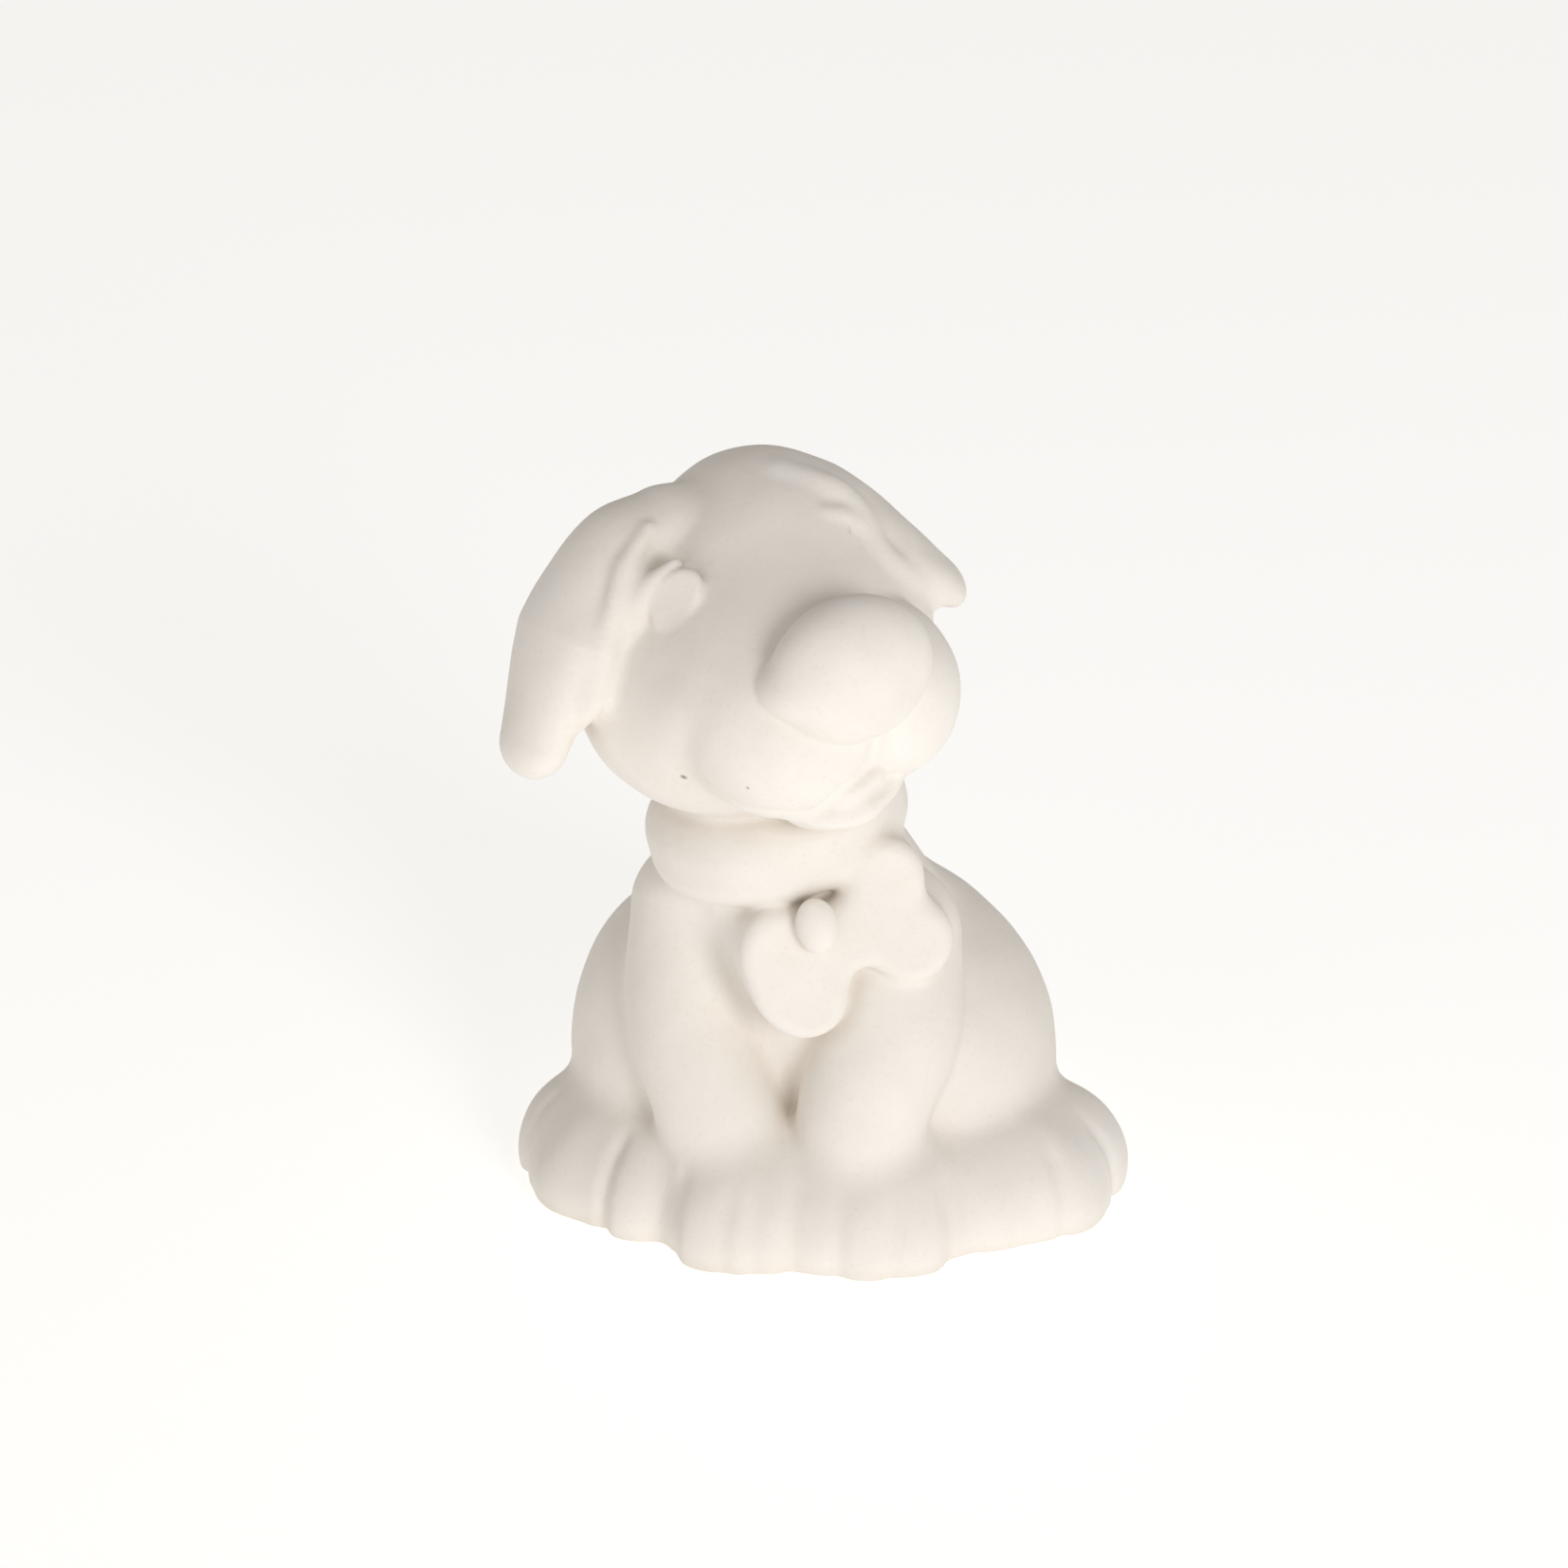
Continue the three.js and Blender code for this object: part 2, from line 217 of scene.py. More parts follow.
def ring(centre, turn, radius, half_thick, half_high, rounding, blend=0.0):
    """A band about its own upright axis, whose section is a rounded rectangle."""
    centre = np.array(centre, float)

    def distance(x, y, z):
        a, b, up = seen_from(centre, turn, x, y, z)
        out = np.abs(np.sqrt(a * a + b * b) - radius) - half_thick
        return edged(out, np.abs(up) - half_high, rounding)

    reach = radius + half_thick + half_high
    return Form(distance, centre - reach, centre + reach, blend)


def in_head(centre):
    """A point of the head's own frame, in the figurine's."""
    return HEAD_CENTRE + HEAD_TURN @ np.array(centre, float)


def head_ball(centre, radii, blend=0.0, turn=UPRIGHT):
    """An ellipsoid placed in the head's own frame."""
    return ball(in_head(centre), radii, blend, HEAD_TURN @ turn)


def head_sweep(points, thickness, width=None, across=(1, 0, 0), blend=0.0, steps=28):
    """A limb placed in the head's own frame."""
    points = [in_head(point) for point in points]
    return sweep(points, thickness, width, HEAD_TURN @ np.array(across, float), blend, steps)


# ---------------------------------------------------------------- the forms of the body


def torso():
    """Belly, chest and neck."""
    return [
        ball(BELLY_CENTRE, BELLY_RADII),
        ball((-4.2, -1, 38), (18, 18, 18), blend=8),
        ball((-4.6, -8, 50), (14.6, 14, 14), blend=5),
    ]


def haunch_left():
    return [ball((15.2, 3, 14.5), (16, 20, 20.5))]


def haunch_right():
    return [ball((-20.2, 2, 16.4), (15, 20, 21.6))]


def front_leg_left():
    route = [(9, -9, 38), (11, -15, 28), (8.4, -19.5, 18), (7, -21, 9)]
    return [sweep(route, (10.5, 9.4, 8.6, 8.4))]


def front_leg_right():
    route = [(-15.5, -8, 40), (-15.5, -15, 28), (-11.8, -19.5, 18), (-9, -21, 9)]
    return [sweep(route, (9.3, 8.6, 8.3, 8.5))]


def paw(pad, toes, blend=5.0):
    """A thick rounded pad with its toes."""
    forms = [ball(*pad)]
    for x, y, half_wide, half_long, high, turn in toes:
        forms.append(ball((x, y, 2.5), (half_wide, half_long, high), blend, turned(turn)))
    return forms


def front_paw_left():
    toes = [
        (4, -21.2, 7, 13.5, 11.2, 0),
        (10, -21, 6.8, 13.6, 11.2, 4),
        (14, -18.5, 7.6, 13.5, 11, 18),
    ]
    return paw(((11, -18, 2), (12, 14, 11)), toes)


def front_paw_right():
    toes = [
        (-1, -21.4, 7, 13.5, 11.2, 0),
        (-5.3, -22.2, 6.6, 13.5, 11.2, -4),
        (-9.4, -21.8, 6.8, 13.5, 11, -8),
    ]
    return paw(((-7, -18, 2), (11, 14, 11)), toes)


def hind_paw_left():
    toes = [
        (20.9, -12.6, 9, 13, 10.8, 25),
        (27.9, -8.3, 9, 13, 10.2, 50),
        (30.4, 0, 9.8, 11, 9.8, 82),
    ]
    return paw(((25, -3, 2), (14.5, 18, 11.4)), toes)


def hind_paw_right():
    toes = [
        (-18.8, -17.2, 9.4, 13, 10.8, -16),
        (-25, -13.2, 9, 13, 10.4, -45),
        (-29.8, -6.4, 9.4, 11, 10, -78),
    ]
    return paw(((-25.4, -5, 2), (14, 17.5, 11.6)), toes)


def tail():
    route = [(-3, 27.5, 5), (7, 32, 4.8), (16, 29.8, 5), (22.5, 23.5, 5.6)]
    return [sweep(route, (4.8, 5.6, 4.8, 3.6), across=(0, 0, 1))]


# ---------------------------------------------------------------- collar and tag


def collar():
    return [ring((-5, -9.8, 54.6), turned(0, 7, -12), 10, 7.2, 5.9, 4.6)]


def bone_tag():
    """Two lobes of round knobs and a thick waist, with a level face and rounded edges."""
    centre = np.array([4.8, -18.1, 43.1])
    turn = turned(20, -8, -27)
    left = [(-8.2, 2.8, 5.3), (-8.9, -1.2, 5), (-8.4, -5, 5.3)]
    right = [(8.2, 4.2, 4.9), (6.9, -5.1, 5.6)]
    half_long, half_waist, half_thick, edge = 8.0, 4.9, 6.3, 2.0

    def distance(x, y, z):
        along, out, up = seen_from(centre, turn, x, y, z)
        lobes = []
        for knobs in (left, right):
            rounds = [np.hypot(along - a, up - b) - radius for a, b, radius in knobs]
            lobe = rounds[0]
            for other in rounds[1:]:
                lobe = smooth_min(lobe, other, 4.0)
            lobes.append(lobe)
        waist = edged(np.abs(along) - half_long, np.abs(up) - half_waist, 0)
        outline = smooth_min(smooth_min(lobes[0], waist, 3.0), lobes[1], 3.0)
        return edged(outline, np.abs(out) - half_thick, edge)

    return [Form(distance, centre - 16, centre + 16)]


def tag_loop():
    return [ball((3.2, -26.6, 46.5), (2.7, 2.4, 3.7), turn=turned(0, 0, -8))]


# ---------------------------------------------------------------- the forms of the head


def head():
    """Skull, cheeks and the root of the muzzle."""
    return [
        head_ball((1.2, 1, 1.6), (17.3, 21, 22.4), turn=turned(0, 0, 20)),
        head_ball((-1.3, 0, -3), (23.8, 21, 19.4), blend=6),
        head_ball((-1, -12, -2.5), (13, 16, 13.8), blend=6),
        head_ball((-6, -13, -1), (13.5, 13.5, 10), blend=6),
    ]


def jowl_left():
    return [head_ball((6.4, -17.4, -6.2), (11.2, 12.6, 12.0))]


def jowl_right():
    return [head_ball((-5.5, -17.6, -4.9), (13.2, 13.2, 13.2))]


def lower_jaw():
    lip = [(-9.8, -21.4, -16.2), (-5.5, -23.2, -17.9), (-0.8, -24, -18.2), (5.6, -22.4, -15.4)]
    return [
        head_ball((-0.8, -17, -17), (8.4, 8, 5), turn=turned(0, -10)),
        head_sweep(lip, (0.8, 1.6, 1.9, 0.9), across=(0, 0, 1), blend=0.6),
    ]


def tongue():
    return [head_ball((-0.8, -24, -15.2), (4.8, 3.4, 1.9), turn=turned(0, -14, -15))]


def nose():
    """The big button nose, fuller at its lower right where the nostril's wing is."""
    return [
        head_ball((0.5, -29.2, 0.9), (10.6, 7.6, 9.5), turn=turned(0, 18)),
        head_ball((-7.1, -28, 1.2), (4.3, 5.4, 4), blend=1),
    ]


def ear_left():
    """The flap, with a rolled rim along its front edge."""
    route = [(8.2, -2, 19.2), (14.4, -2.6, 14.8), (19.6, -2, 7.8), (25.6, -0.5, -1.7)]
    half_thick, half_wide = (2.4, 2.9, 3, 2.8), (6, 9, 9.5, 6)
    rim = [
        (7, -6.2, 20.6),
        (12, -9.8, 17),
        (13.2, -12.2, 12),
        (15, -13, 6),
        (22.4, -5.6, -1.6),
    ]
    return [
        head_sweep(route, half_thick, half_wide, across=(0.25, 0.95, 0)),
        head_sweep(rim, (0.7, 1.4, 1.7, 2, 2), blend=3),
    ]


def ear_right():
    """The flap, with a rolled rim along its front edge and a full root."""
    route = [(-7.4, 1, 19.2), (-15.2, 0.8, 17.6), (-24.2, 0.6, 9.5), (-32.2, 0.8, -2)]
    half_thick, half_wide = (3.4, 4.3, 4.7, 3.8), (6, 6.6, 9, 5.7)
    rim = [
        (-11.2, -4.8, 20),
        (-16.2, -6.6, 17),
        (-20, -7.7, 12),
        (-25.2, -6.4, 2.8),
        (-27, -3.6, -0.2),
    ]
    return [
        head_sweep(route, half_thick, half_wide, across=(-0.15, 0.95, 0.15)),
        head_sweep(rim, (0.6, 1.1, 1.3, 1.5, 1), blend=1.6),
        head_ball((-15.2, -4.2, 13), (3.2, 4.2, 4.4), blend=2),
    ]


def facing(normal, along):
    """A turn whose columns are a direction, the one across it, and a surface's normal."""
    normal = np.array(normal, float) / np.linalg.norm(normal)
    along = np.array(along, float) - normal * (normal @ np.array(along, float))
    along /= np.linalg.norm(along)
    return np.stack([along, np.cross(normal, along), normal], axis=1)


def disc(centre, turn, radii, half_thick, rounding):
    """A flat oval with rounded edges, in the head's frame."""
    centre = in_head(centre)
    turn = HEAD_TURN @ turn

    def distance(x, y, z):
        along, up, out = seen_from(centre, turn, x, y, z)
        rim = (np.hypot(along / radii[0], up / radii[1]) - 1) * radii[1]
        return edged(rim, np.abs(out) - half_thick, rounding)

    return Form(distance, centre - max(radii), centre + max(radii))


def eye_left():
    turn = facing((0.6, -0.68, 0.45), (0.79, 0.16, -0.59))
    return [disc((11.8, -13.1, 11.5), turn, (3.8, 2.4), 1, 0.8)]


def eye_right():
    turn = facing((-0.63, -0.63, 0.45), (-0.79, 0.16, -0.59))
    return [disc((-12.6, -11.9, 12.1), turn, (4.4, 3.1), 0.95, 0.7)]


def eyelid_left():
    """The fold from the temple up over the eye."""
    route = [(13.4, -12.6, 10.4), (12.2, -13, 12.6), (10.8, -13, 14.4), (9, -13, 15.5)]
    return [head_sweep(route, (0.7, 1.1, 1.1, 0.6))]


def eyelid_right():
    """The same fold on the other side."""
    route = [(-19.4, -6.6, 9.4), (-16.3, -8.4, 12.4), (-13.8, -9.2, 14.6), (-11, -10.2, 16)]
    return [head_sweep(route, (0.9, 1.1, 1.1, 0.8))]


# Each piece: the function that gives its forms, and how far it blends into what is round it.
PIECES = {
    "torso": (torso, 0),
    "haunch_left": (haunch_left, 3),
    "haunch_right": (haunch_right, 3),
    "front_leg_left": (front_leg_left, 2.5),
    "front_leg_right": (front_leg_right, 2.5),
    "front_paw_left": (front_paw_left, 2.5),
    "front_paw_right": (front_paw_right, 2.5),
    "hind_paw_left": (hind_paw_left, 2.5),
    "hind_paw_right": (hind_paw_right, 2.5),
    "tail": (tail, 2),
    "collar": (collar, 1),
    "head": (head, 2.2),
    "jowl_left": (jowl_left, 0.9),
    "jowl_right": (jowl_right, 0.9),
    "tongue": (tongue, 0.4),
    "lower_jaw": (lower_jaw, 0.8),
    "nose": (nose, 0.4),
    "ear_left": (ear_left, 1.6),
    "ear_right": (ear_right, 2.6),
    "eyelid_left": (eyelid_left, 1.5),
    "eyelid_right": (eyelid_right, 2.2),
    "eye_left": (eye_left, 0.3),
    "eye_right": (eye_right, 0.6),
    "bone_tag": (bone_tag, 1.6),
    "tag_loop": (tag_loop, 0.4),
}


# The creases pressed between the toes: where each starts outside the paw and where it ends on
# top of it, seen from above, with its depth.
TOE_CREASES = [
    ((-15.4, -38), (-13, -24), 0.6),
    ((-7.6, -39), (-6.8, -30), 0.3),
    ((-3.7, -39), (-3.6, -31), 0.25),
    ((1.2, -39), (1, -29), 0.25),
    ((7.7, -39), (7.3, -30), 0.3),
    ((14.9, -38), (13.8, -29), 0.3),
    ((23, -33), (18.6, -21), 0.9),
    ((37, -21), (29, -10), 0.6),
    ((44, -8), (33, -4), 0.6),
    ((-26.4, -31), (-19, -10), 0.9),
    ((-40, -15), (-31, -6), 0.7),
]
CREASE_HALF_WIDTH = 1.3
CREASE_TOP = 13.0
CREASE_FADE = 3.0  # the height over which a crease dies away below its top


def pressed_creases(x, y, z):
    """How far the toe creases push the surface in."""
    depth = 0
    for start, end, deepest in TOE_CREASES:
        start, end = np.array(start), np.array(end)
        length = np.linalg.norm(end - start)
        along = (end - start) / length
        run = (x - start[0]) * along[0] + (y - start[1]) * along[1]
        off = (y - start[1]) * along[0] - (x - start[0]) * along[1]
        fade = np.clip((length - run) / (0.5 * length), 0, 1) * (run > 0)
        depth = depth + deepest * fade * np.exp(-((off / CREASE_HALF_WIDTH) ** 2))
    return depth * np.clip((CREASE_TOP - z) / CREASE_FADE, 0, 1)


# The lines pressed into the face: where each runs in the head's own frame, how deep it is and
# half how wide.
FACE_LINES = [
    (
        ((-18.6, -17, -7), (-16.6, -19.4, -11.6), (-12.8, -23.2, -14.4), (-8, -24.6, -15.6)),
        1,
        0.9,
    ),
    (
        ((-7.5, -24.8, -15.6), (-4.2, -27.2, -13.9), (-1.4, -27.5, -12.7), (0.8, -27.3, -11.6)),
        1.9,
        0.7,
    ),
    (((2, -28.6, -8.8), (1.2, -28, -10.4), (0.4, -27.3, -11.8)), 0.7, 0.8),
    (
        ((-6.4, -25, -16), (-2.2, -26.6, -16.2), (1.4, -25.4, -16.6), (4.6, -24, -15.8)),
        1.6,
        0.7,
    ),
]


def press_face_lines(fused, grid):
    """Presses each line into the surface round it."""
    for route, depth, half_width in FACE_LINES:
        curve, place = spline([in_head(point) for point in route], 30)
        fade = np.sin(np.pi * place / place[-1]) ** 0.5
        edge = 3 * half_width
        window = grid.around(curve.min(0) - edge, curve.max(0) + edge)
        x, y, z = grid.axes(window)
        pressed = 0
        for (a, b, c), share in zip(curve, fade):
            apart = (x - a) ** 2 + (y - b) ** 2 + (z - c) ** 2
            pressed = np.maximum(pressed, share * np.exp(-apart / half_width**2))
        fused[window] += depth * pressed


# ---------------------------------------------------------------- one fused field


class Grid:
    """The sample points that every field shares, in design millimetres."""

    def __init__(self, low, high, step):
        self.low = np.floor(np.array(low) / step) * step
        self.step = step
        self.count = np.ceil((np.array(high) - self.low) / step).astype(int) + 1

    def around(self, low, high):
        """The slices of the grid that hold a box."""
        first = np.floor((np.array(low) - self.low) / self.step).astype(int)
        last = np.ceil((np.array(high) - self.low) / self.step).astype(int) + 1
        first = np.clip(first, 0, self.count)
        last = np.clip(last, 0, self.count)
        return tuple(slice(int(a), int(b)) for a, b in zip(first, last))

    def whole(self):
        """The slices that hold all of the grid."""
        return tuple(slice(0, int(n)) for n in self.count)

    def axes(self, window):
        """Coordinates of a part of the grid, shaped to broadcast against each other."""
        axes = []
        for axis, part in enumerate(window):
            values = self.low[axis] + self.step * np.arange(part.start, part.stop)
            shape = [1, 1, 1]
            shape[axis] = -1
            axes.append(values.reshape(shape).astype(np.float32))
        return axes


def piece_field(forms, grid):
    """The joined field of one piece, and the part of the grid that it was worked out on."""
    low = np.min([form.low for form in forms], axis=0) - REACH
    high = np.max([form.high for form in forms], axis=0) + REACH
    window = grid.around(low, high)
    x, y, z = grid.axes(window)
    total = None
    for form in forms:
        field = form.distance(x, y, z).astype(np.float32)
        total = field if total is None else smooth_min(total, field, form.blend)
    return window, total


def fused_fields(grid):
    """The fused surface, each piece's own field, and the two lowest fields at every point."""
    fused = np.full(grid.count, FAR, np.float32)
    lowest = fused.copy()
    second = fused.copy()
    owner = np.full(grid.count, -1, np.int8)
    own = {}
    for number, (name, (forms, blend)) in enumerate(PIECES.items()):
        window, field = piece_field(forms(), grid)
        own[name] = (number, window, field)
        fused[window] = smooth_min(fused[window], field, blend)
        first, other, who = lowest[window], second[window], owner[window]
        wins = field < first
        second[window] = np.where(wins, first, np.minimum(other, field))
        lowest[window] = np.where(wins, field, first)
        owner[window] = np.where(wins, number, who)
    x, y, z = grid.axes(grid.whole())
    fused += pressed_creases(x, y, z)
    press_face_lines(fused, grid)
    fused = smooth_max(fused, -z, FLOOR_BLEND)
    return fused, own, lowest, second, owner


def hollow(grid, own):
    """The casting hollow of body and head, the bore between them and the pour hole below."""
    x, y, z = grid.axes(grid.whole())
    space = np.full(grid.count, FAR, np.float32)
    for name in ("torso", "head"):
        _, window, field = own[name]
        space[window] = np.minimum(space[window], field + WALL)
    space = np.maximum(space, WALL - z)
    bore = np.maximum(
        np.hypot(x - NECK_BORE_AXIS[0], y - NECK_BORE_AXIS[1]) - NECK_BORE_RADIUS,
        np.abs(z - NECK_BORE_MIDDLE) - NECK_BORE_HALF_LENGTH,
    )
    out = np.hypot(x - BELLY_CENTRE[0], y - BELLY_CENTRE[1]) - POUR_HOLE_RADIUS
    pour_hole = np.maximum(out, z - 2 * WALL)
    return smooth_min(np.minimum(space, bore), pour_hole, POUR_HOLE_BLEND)


FINISH_DEPTH = 0.07


def hand_finish(x, y, z):
    """The faint unevenness that a fettling knife and a wet sponge leave on the clay."""
    waves = ((0.31, 0.17, 0.23, 0.4), (-0.19, 0.37, 0.29, 2.1), (0.61, -0.43, 0.52, 4.4))
    height = 0
    for a, b, c, phase in waves:
        height = height + np.sin(a * x + phase) * np.sin(b * y + 2 * phase) * np.cos(c * z + phase)
    return FINISH_DEPTH * height


def to_frame(point):
    """A design point in the frame, in metres."""
    return Vector(DATUM + UNIT * np.array(point, float))


SETTLING_ROUNDS = 3
SETTLING_SHARE = 0.8  # how much of the way to the surface each round goes
FLATTEST = 0.3  # the least slope that a step is worked out from


def settled(points, field, grid, window):
    """Mesh points moved onto the surface."""
    start = np.array([part.start for part in window])
    slopes = np.gradient(field, grid.step)
    limit = np.array(field.shape) - 2
    for _ in range(SETTLING_ROUNDS):
        place = (points - grid.low) / grid.step - start
        cell = np.clip(place.astype(int), 0, limit)
        part = place - cell
        value = np.zeros(len(points))
        slope = np.zeros((len(points), 3))
        for corner in np.ndindex(2, 2, 2):
            weight = np.prod(np.where(corner, part, 1 - part), axis=1)
            i, j, k = (cell + corner).T
            value += weight * field[i, j, k]
            for axis in range(3):
                slope[:, axis] += weight * slopes[axis][i, j, k]
        size = np.maximum(np.linalg.norm(slope, axis=1), FLATTEST)
        points = points - slope * (value / size**2)[:, None] * SETTLING_SHARE
    return points


def mesh_of(name, field, grid, window):
    """One closed mesh from a field over a part of the grid."""
    padded = np.pad(field, 1, constant_values=FAR)
    volume = openvdb.FloatGrid(FAR)
    volume.copyFromArray(np.ascontiguousarray(padded, dtype=np.float32))
    points, _, quads = volume.convertToPolygons(isovalue=0.0, adaptivity=0.0)
    start = np.array([part.start for part in window]) - 1
    points = grid.low + grid.step * (points.astype(float) + start)
    points = settled(points, field, grid, window)
    mesh = bpy.data.meshes.new(name)
    mesh.from_pydata((DATUM + UNIT * points).tolist(), [], quads.tolist())
    mesh.validate()
    mesh.shade_smooth()
    return mesh


OVERLAP = 2.0  # how far each piece runs on past the crease with its neighbour
SINK = 0.12  # how fast it dips under the neighbour's surface on the way


def make_pieces():
    """Cuts the fused surface into one piece for each form."""
    grid = Grid((*GRID_LOW, -2 * VOXEL), GRID_HIGH, VOXEL)
    fused, own, lowest, second, owner = fused_fields(grid)
    x, y, z = grid.axes(grid.whole())
    fused += hand_finish(x, y, z)
    fused = smooth_max(fused, -z, FINISH_BLEND)
    space = hollow(grid, own)
    pieces = {}
    for name, (number, window, field) in own.items():
        rival = np.where(owner[window] == number, second[window], lowest[window])
        past = field - rival
        sunk = SINK * np.maximum(past, 0) ** 2
        shape = np.maximum(fused[window] + sunk, past - OVERLAP)
        shape = np.maximum(shape, -space[window])
        obj = bpy.data.objects.new(name + "_clay", mesh_of(name, shape, grid, window))
        bpy.context.scene.collection.objects.link(obj)
        pieces[name] = obj
    return pieces


# ---------------------------------------------------------------- bisque


class Nodes:
    """A material, with short ways to add shader nodes to it."""

    def __init__(self, name):
        self.material = bpy.data.materials.new(name)
        self.material.use_nodes = True
        self.tree = self.material.node_tree
        self.surface = self.tree.nodes["Principled BSDF"]

    def add(self, kind, inputs=None, **settings):
        node = self.tree.nodes.new(kind)
        for key, value in settings.items():
            setattr(node, key, value)
        for key, value in (inputs or {}).items():
            if isinstance(value, bpy.types.NodeSocket):
                self.tree.links.new(value, node.inputs[key])
            else:
                node.inputs[key].default_value = value
        return node

    def noise(self, where, scale, detail=3.0, roughness=0.55):
        inputs = {"Vector": where, "Scale": scale, "Detail": detail, "Roughness": roughness}
        return self.add("ShaderNodeTexNoise", inputs).outputs[0]

    def ramp(self, value, stops):
        node = self.add("ShaderNodeValToRGB", {0: value})
        ends = node.color_ramp.elements
        for element, (place, colour) in zip(ends, stops):
            element.position = place
            element.color = (*colour, 1)
        return node.outputs[0]

    def spread(self, value, low, high):
        inputs = {"Value": value, "From Min": 0.3, "From Max": 0.7, "To Min": low, "To Max": high}
        return self.add("ShaderNodeMapRange", inputs).outputs[0]

    def mixed(self, kind, amount, a, b):
        node = self.add("ShaderNodeMix", {0: amount, 6: a, 7: b}, data_type="RGBA", blend_type=kind)
        return node.outputs[2]

    def bump(self, height, strength, distance, below=None):
        inputs = {"Height": height, "Strength": strength, "Distance": distance}
        if below is not None:
            inputs["Normal"] = below
        return self.add("ShaderNodeBump", inputs).outputs[0]


# The casting pinholes by the mouth, which are not carved in the mesh but painted as dark spots of
# shade: where each is, and its radius.
PINHOLES = (((-12.8, -31.2, 67.9), 0.42), ((-3.2, -39.1, 70.2), 0.28))


def bisque(name):
    """Unglazed low-fired clay: matt, warm white, faintly mottled, with a fine dry grain, darkened
    in its creases by dust and painted shade, and with its pinholes painted as dark spots of shade.
    """
    n = Nodes(name)
    where = n.add("ShaderNodeTexCoord").outputs["Object"]
    clouds = n.noise(where, 45, 4)
    base = n.ramp(clouds, ((0.34, (0.85, 0.805, 0.745)), (0.66, (0.90, 0.862, 0.815))))
    blush = n.ramp(n.noise(where, 95, 3), ((0.45, (1, 1, 1)), (0.8, (0.985, 0.962, 0.95))))
    base = n.mixed("MULTIPLY", 1.0, base, blush)
    speck = n.ramp(n.noise(where, 1500, 2, 0.4), ((0.30, (0.975, 0.97, 0.96)), (0.42, (1, 1, 1))))
    base = n.mixed("MULTIPLY", 1.0, base, speck)
    # Painted shade: the base colour is darkened and made a little warmer where the ambient
    # occlusion finds creases and hollows. This stands partly for dust in the creases and partly for
    # the shade that falls there.
    shelter = n.add("ShaderNodeAmbientOcclusion", {"Distance": 3.5 * UNIT}, samples=6).outputs["AO"]
    dust_and_painted_shade = n.ramp(shelter, ((0.3, (0.87, 0.85, 0.82)), (0.85, (1, 1, 1))))
    base = n.mixed("MULTIPLY", 1.0, base, dust_and_painted_shade)
    # Painted shade: each pinhole is a dark spot painted into the base colour, standing for the
    # shadow inside the tiny hole.
    for centre, radius in PINHOLES:
        inputs = {0: where, 1: to_frame(centre)}
        away = n.add("ShaderNodeVectorMath", inputs, operation="DISTANCE").outputs["Value"]
        limits = {"From Min": radius * UNIT * 0.7, "From Max": radius * UNIT * 1.6}
        clear_of_painted_hole_shade = n.add("ShaderNodeMapRange", {"Value": away, **limits}).outputs[0]
        base = n.mixed("MIX", clear_of_painted_hole_shade, (0.2, 0.18, 0.15, 1), base)
    n.tree.links.new(base, n.surface.inputs["Base Color"])
    rough = n.spread(n.noise(where, 160, 4), 0.74, 0.88)
    n.tree.links.new(rough, n.surface.inputs["Roughness"])
    n.surface.inputs["Specular IOR Level"].default_value = 0.3
    ripple = n.bump(n.noise(where, 260, 3), 0.35, 0.00025)
    grain = n.bump(n.noise(where, 2400, 3, 0.6), 0.3, 0.00006, ripple)
    n.tree.links.new(grain, n.surface.inputs["Normal"])
    return n.material


SLOTS = {
    "bisque_body": ("torso", "haunch", "front_leg", "front_paw", "hind_paw", "tail"),
    "bisque_head": ("head", "jowl", "lower_jaw", "tongue", "ear", "eyelid"),
    "bisque_trim": ("collar", "bone_tag", "tag_loop"),
    "bisque_features": ("nose", "eye"),
}


def form_of(name):
    """The kind of form a node is, without its side."""
    return name.removesuffix("_left").removesuffix("_right")


def slot_of(name):
    """The material slot that a node belongs to."""
    return next(slot for slot, kinds in SLOTS.items() if form_of(name) in kinds)


materials = {slot: bisque(slot) for slot in SLOTS}
for name, piece in make_pieces().items():
    slot = slot_of(name)
    piece.data.materials.append(materials[slot])
    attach(piece, "root")
    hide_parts(name)

# ---------------------------------------------------------------- the stage


FLOOR_GLOW = 0.5
FLOOR_HALF = 2.5
LAMP_AIM = (-3, 0, 45)
CAMERA_TURN = 10
CAMERA_RISE = 22
CAMERA_AWAY = 0.52
CAMERA_AIM = (-5, -4, 56.4)
CAMERA_LENS = 90.54
SKY_COLOUR = (1, 0.965, 0.915, 1)
SKY_STRENGTH = 0.42


def plain(name, colour, roughness):
    """A plain matt material that gives off a little white light of its own."""
    material = bpy.data.materials.new(name)
    material.use_nodes = True
    surface = material.node_tree.nodes["Principled BSDF"]
    surface.inputs["Base Color"].default_value = (*colour, 1)
    surface.inputs["Roughness"].default_value = roughness
    surface.inputs["Specular IOR Level"].default_value = 0.2
    surface.inputs["Emission Color"].default_value = (1, 1, 1, 1)
    surface.inputs["Emission Strength"].default_value = FLOOR_GLOW
    return material


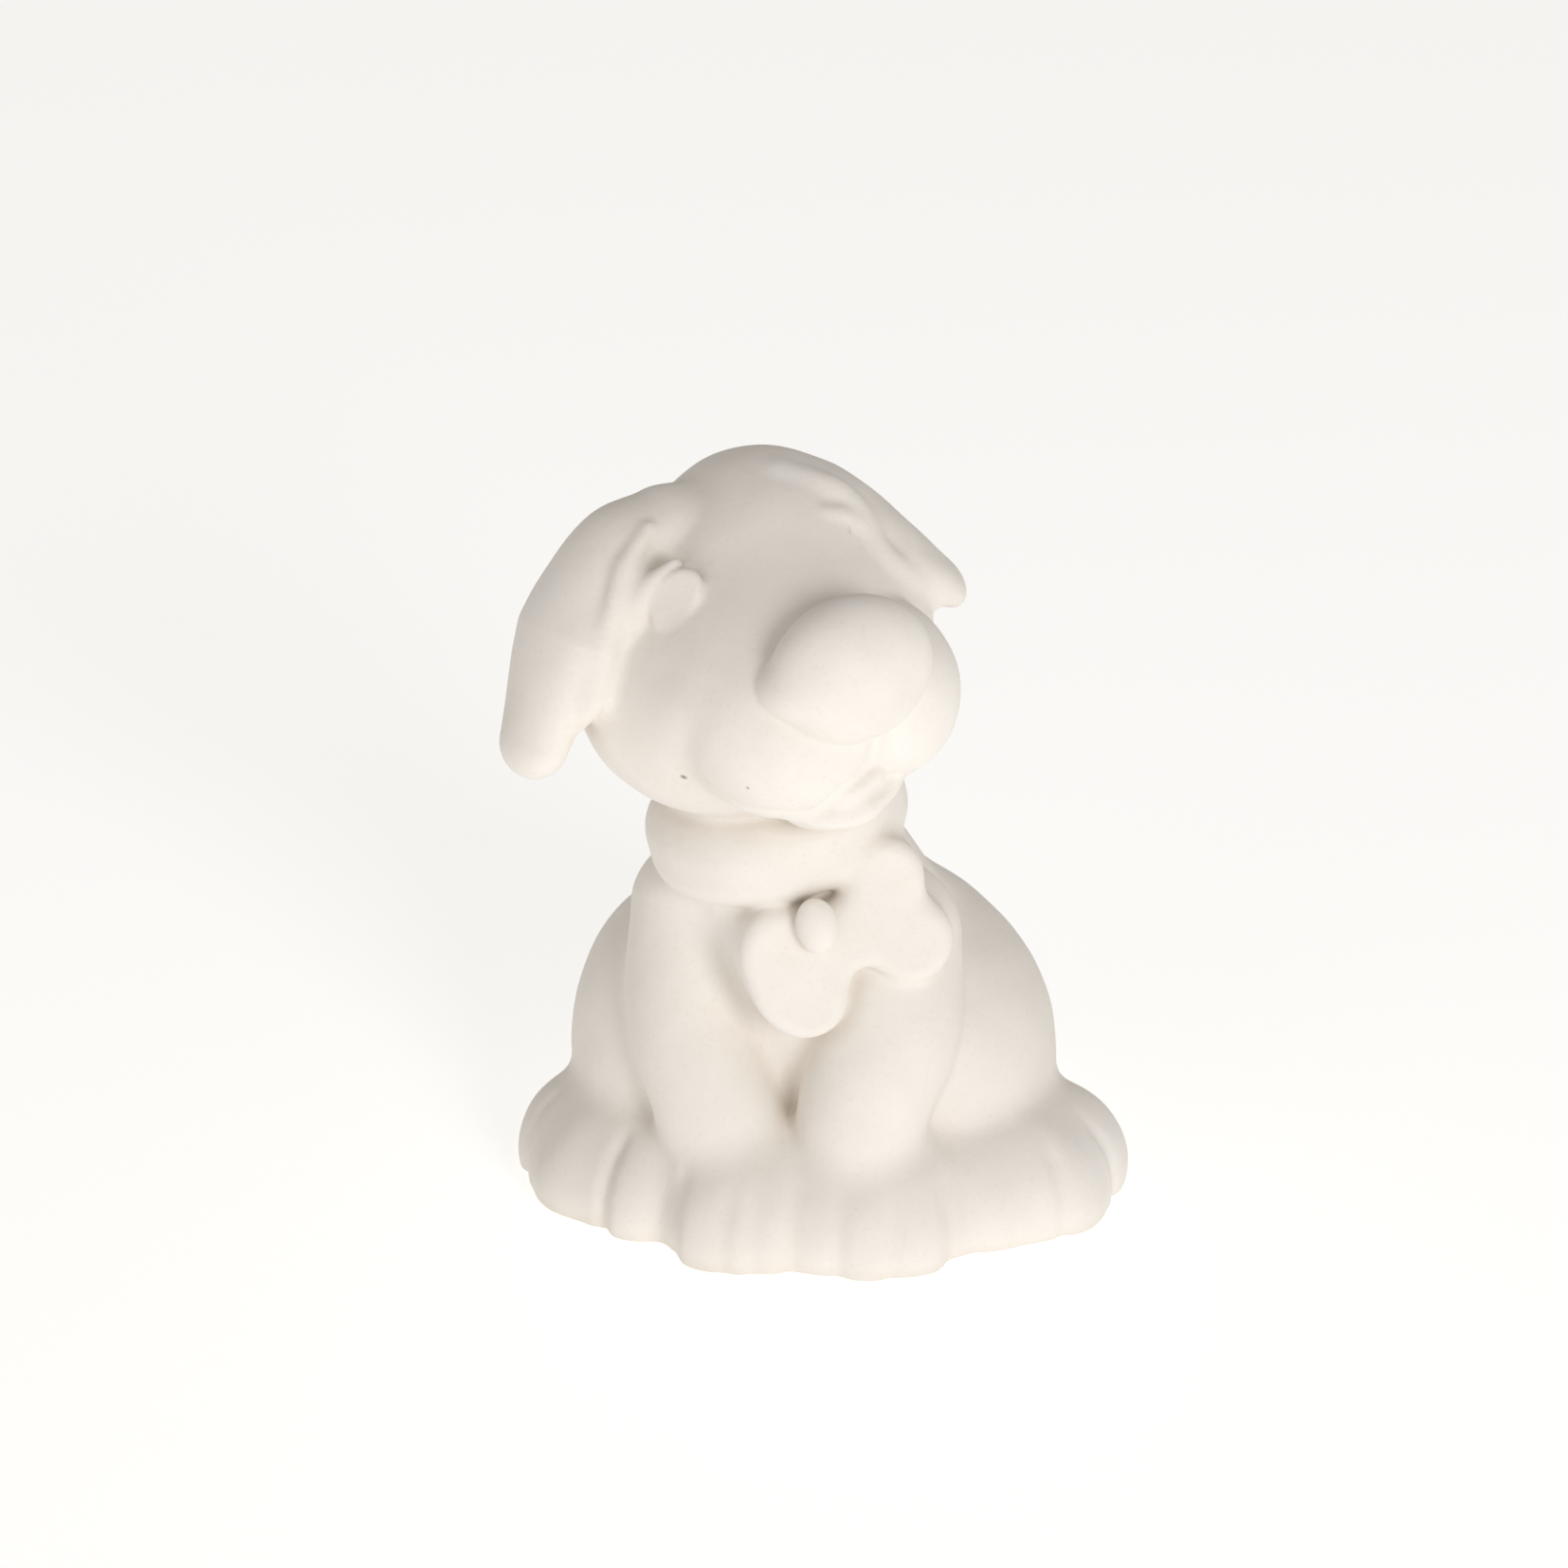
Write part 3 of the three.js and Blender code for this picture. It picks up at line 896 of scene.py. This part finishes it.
def add_floor():
    """A wide pale floor."""
    half = FLOOR_HALF
    mesh = bpy.data.meshes.new("floor")
    corners = [(-half, -half, 0), (half, -half, 0), (half, half, 0), (-half, half, 0)]
    mesh.from_pydata(corners, [], [(0, 1, 2, 3)])
    mesh.materials.append(plain("pale_floor", (0.93, 0.93, 0.925), 0.9))
    floor = bpy.data.objects.new("floor", mesh)
    bpy.context.scene.collection.objects.link(floor)


def add_light(name, place, size, power, colour):
    """A large soft lamp aimed at the middle of the figurine."""
    lamp = bpy.data.lights.new(name, "AREA")
    lamp.shape = "DISK"
    lamp.size = size
    lamp.energy = power
    lamp.color = colour
    obj = bpy.data.objects.new(name, lamp)
    obj.location = Vector(place)
    aim = to_frame(LAMP_AIM) - obj.location
    obj.rotation_euler = aim.to_track_quat("-Z", "Y").to_euler()
    bpy.context.scene.collection.objects.link(obj)


def add_camera():
    """The photograph's view: to the puppy's left of straight ahead, and from above."""
    turn, rise = np.radians(CAMERA_TURN), np.radians(CAMERA_RISE)
    back = (np.sin(turn) * np.cos(rise), -np.cos(turn) * np.cos(rise), np.sin(rise))
    lens = bpy.data.cameras.new("camera")
    lens.sensor_width = 36
    lens.lens = CAMERA_LENS
    camera = bpy.data.objects.new("camera", lens)
    camera.location = to_frame(CAMERA_AIM) + Vector(back) * CAMERA_AWAY
    camera.rotation_euler = (-Vector(back)).to_track_quat("-Z", "Y").to_euler()
    bpy.context.scene.collection.objects.link(camera)
    bpy.context.scene.camera = camera


def light_room():
    """Soft light from all round, with a key and a fill."""
    world = bpy.data.worlds.new("room")
    world.use_nodes = True
    sky = world.node_tree.nodes["Background"]
    sky.inputs["Color"].default_value = SKY_COLOUR
    sky.inputs["Strength"].default_value = SKY_STRENGTH
    bpy.context.scene.world = world
    add_light("key", (0.6, -0.85, 0.3), 0.4, 3.9, (0.985, 0.99, 1))
    add_light("fill", (-0.6, -0.9, 0.3), 0.8, 0.8, (1, 0.97, 0.94))


add_floor()
light_room()
add_camera()
bpy.context.scene.view_settings.view_transform = "Standard"
